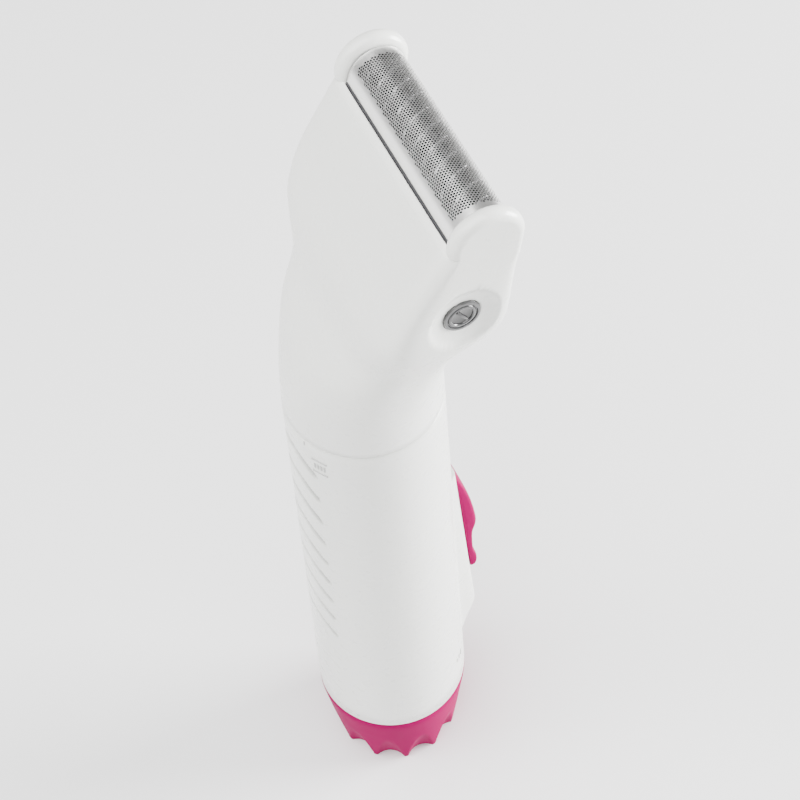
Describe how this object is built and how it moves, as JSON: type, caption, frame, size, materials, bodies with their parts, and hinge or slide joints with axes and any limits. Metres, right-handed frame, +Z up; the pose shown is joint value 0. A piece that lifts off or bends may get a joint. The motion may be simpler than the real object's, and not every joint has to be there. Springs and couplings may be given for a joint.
{
  "type": "fabric shaver",
  "caption": "Handheld fabric shaver: round battery handle with twist cap, thumb slider and a leaning wide head with a perforated foil over a rotary cutter.",
  "frame": {"origin": "centre of the flat foot of the battery cap", "axes": "+Z up along the handle, -Y the side of the slide switch towards which the head leans, X along the shaving foil"},
  "size_m": [0.0483, 0.0414, 0.2181],
  "materials": {
    "white_shell": "glossy moulded white",
    "magenta": "satin moulded magenta",
    "smoked_clear": "smoked translucent moulded plastic",
    "foil_steel": "polished perforated steel",
    "blade_steel": "ground steel",
    "frame_grey": "moulded dark grey",
    "gear_nylon": "natural nylon",
    "motor_steel": "plated steel",
    "magnet": "ferrite",
    "copper": "copper",
    "contact_brass": "plated spring brass",
    "spring_steel": "bright wire",
    "cell_jacket": "printed cell jacket",
    "rubber_seal": "soft rubber",
    "bronze": "sintered bronze",
    "lead_wire": "insulated wire",
    "inner_plastic": "moulded pale grey"
  },
  "bodies": {
    "handle": {"handle_shell": "white_shell", "cap_lock_ring": "inner_plastic", "head_lock_ring": "inner_plastic", "battery_liner": "inner_plastic", "lower_cell": "cell_jacket", "upper_cell": "cell_jacket", "top_contact": "contact_brass", "contact_carrier": "inner_plastic", "centre_contact_pin": "contact_brass", "ring_contact_pin": "contact_brass", "contact_strip": "contact_brass", "switch_housing": "white_shell", "switch_contacts": "contact_brass"},
    "battery_cap": {"battery_cap": "magenta", "cap_seal": "rubber_seal", "cap_contact_plate": "contact_brass", "battery_spring": "spring_steel"},
    "power_slider": {"power_slider": "magenta", "slider_carriage": "frame_grey"},
    "head": {"head_shell": "white_shell", "head_base": "inner_plastic", "head_contact_disc": "contact_brass", "head_contact_ring": "contact_brass", "motor_can": "motor_steel", "motor_end_cap": "frame_grey", "motor_terminals": "contact_brass", "motor_bush": "bronze", "motor_magnets": "magnet", "gear_plate": "motor_steel", "motor_screws": "spring_steel", "motor_cradle": "inner_plastic", "cradle_screws": "spring_steel", "idler_axle_a": "blade_steel", "idler_axle_b": "blade_steel", "near_cutter_bearing": "bronze", "far_cutter_bearing": "bronze", "near_button_guide": "inner_plastic", "far_button_guide": "inner_plastic", "near_button_spring": "spring_steel", "far_button_spring": "spring_steel", "motor_leads": "lead_wire"},
    "motor_rotor": {"motor_rotor": "copper", "motor_pinion": "contact_brass"},
    "idler_a": {"idler_gear_a": "gear_nylon"},
    "idler_b": {"idler_gear_b": "gear_nylon"},
    "cutter": {"cutter_shaft": "blade_steel", "cutter_drum": "blade_steel", "cutter_gear": "gear_nylon"},
    "foil_cartridge": {"shaving_foil": "foil_steel", "foil_frame": "frame_grey"},
    "near_release_button": {"near_release_button": "smoked_clear"},
    "far_release_button": {"far_release_button": "smoked_clear"}
  },
  "joints": [
    {"name": "cap_twist", "type": "hinge", "parent": "handle", "child": "battery_cap", "pos_m": [0, 0, 0.026], "axis": [0, 0, 1], "range_deg": [-30, 0]},
    {"name": "power_slide", "type": "slide", "parent": "handle", "child": "power_slider", "axis": [0, 0.0722, 0.9974], "range_m": [-0.008, 0]},
    {"name": "head_twist", "type": "hinge", "parent": "handle", "child": "head", "pos_m": [0, 0, 0.147], "axis": [0, 0, 1], "range_deg": [0, 30]},
    {"name": "cutter_spin", "type": "hinge", "parent": "head", "child": "cutter", "pos_m": [0, -0.0163, 0.211], "axis": [1, 0, 0], "continuous": true},
    {"name": "idler_b_spin", "type": "hinge", "parent": "head", "child": "idler_b", "pos_m": [0, -0.01403, 0.20307], "axis": [1, 0, 0], "continuous": true},
    {"name": "idler_a_spin", "type": "hinge", "parent": "head", "child": "idler_a", "pos_m": [0, -0.01175, 0.19514], "axis": [1, 0, 0], "continuous": true},
    {"name": "motor_spin", "type": "hinge", "parent": "head", "child": "motor_rotor", "pos_m": [0, -0.00948, 0.18721], "axis": [1, 0, 0], "continuous": true},
    {"name": "foil_lift", "type": "slide", "parent": "head", "child": "foil_cartridge", "axis": [0, -0.2756, 0.9613], "range_m": [0, 0.014]},
    {"name": "near_button_press", "type": "slide", "parent": "head", "child": "near_release_button", "axis": [1, 0, 0], "range_m": [0, 0.0015], "stiffness_N_per_m": 400, "deforming": ["near_button_spring"]},
    {"name": "far_button_press", "type": "slide", "parent": "head", "child": "far_release_button", "axis": [-1, 0, 0], "range_m": [0, 0.0015], "stiffness_N_per_m": 400, "deforming": ["far_button_spring"]}
  ],
  "couplings": [
    {"joint": "idler_b_spin", "follows": "motor_spin", "ratio": 1},
    {"joint": "idler_a_spin", "follows": "motor_spin", "ratio": -0.43478},
    {"joint": "cutter_spin", "follows": "motor_spin", "ratio": -1.0625}
  ]
}
